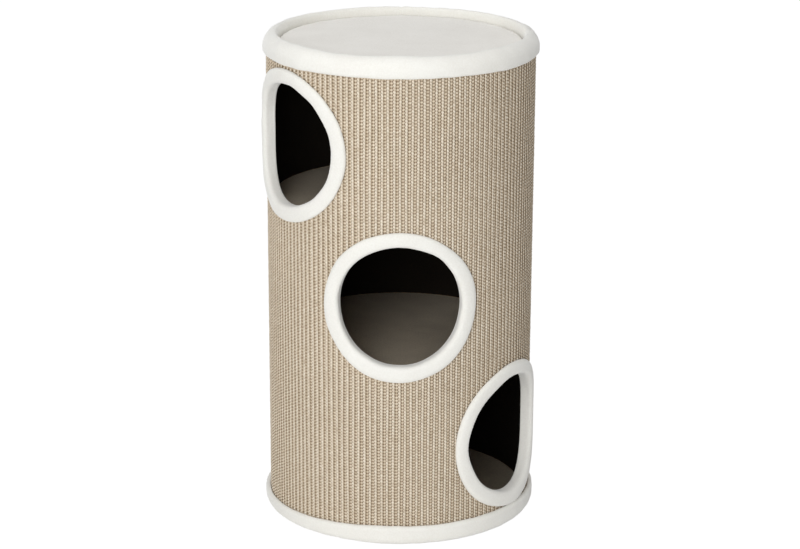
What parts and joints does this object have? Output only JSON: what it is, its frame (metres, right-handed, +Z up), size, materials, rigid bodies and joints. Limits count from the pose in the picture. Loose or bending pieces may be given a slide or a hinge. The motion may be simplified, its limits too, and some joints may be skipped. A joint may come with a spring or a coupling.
{
  "type": "cat condo",
  "caption": "Upright round cat barrel wrapped in woven sisal, with plush-edged portholes into stacked lined chambers and a padded resting place inside a raised rim on top.",
  "frame": {"origin": "centre of the underside, on the floor", "axes": "+Z up along the barrel; the middle porthole faces -Y; the lower porthole is towards +X and the upper one towards -X"},
  "size_m": [0.3946, 0.3946, 0.7015],
  "materials": {
    "sisal": "woven sisal matting in vertical chain-stitch columns",
    "plush": "short off-white plush",
    "pad_plush": "short light warm grey plush",
    "carpet": "short pale grey plush",
    "lining": "matt dark brown non-woven cloth",
    "dust_cloth": "matt black non-woven cloth",
    "tube": "rolled brown board",
    "board": "raw fibreboard",
    "foam": "open-cell foam",
    "screw": "zinc plated"
  },
  "bodies": {
    "root": {"tube_shell": "tube", "sisal_mat": "sisal", "base_board": "board", "middle_shelf_board": "board", "upper_shelf_board": "board", "top_board": "board", "base_screws": "screw", "middle_shelf_screws": "screw", "upper_shelf_screws": "screw", "top_board_screws": "screw", "lower_lining": "lining", "middle_lining": "lining", "upper_lining": "lining", "lower_carpet": "carpet", "middle_carpet": "carpet", "upper_carpet": "carpet", "lower_trim_foam": "foam", "middle_trim_foam": "foam", "upper_trim_foam": "foam", "lower_trim_cover": "plush", "middle_trim_cover": "plush", "upper_trim_cover": "plush", "top_rim_foam": "foam", "top_rim_cover": "plush", "bottom_rim_foam": "foam", "bottom_rim_cover": "plush", "top_pad_foam": "foam", "top_pad_cover": "pad_plush", "dust_cloth": "dust_cloth"}
  },
  "joints": []
}
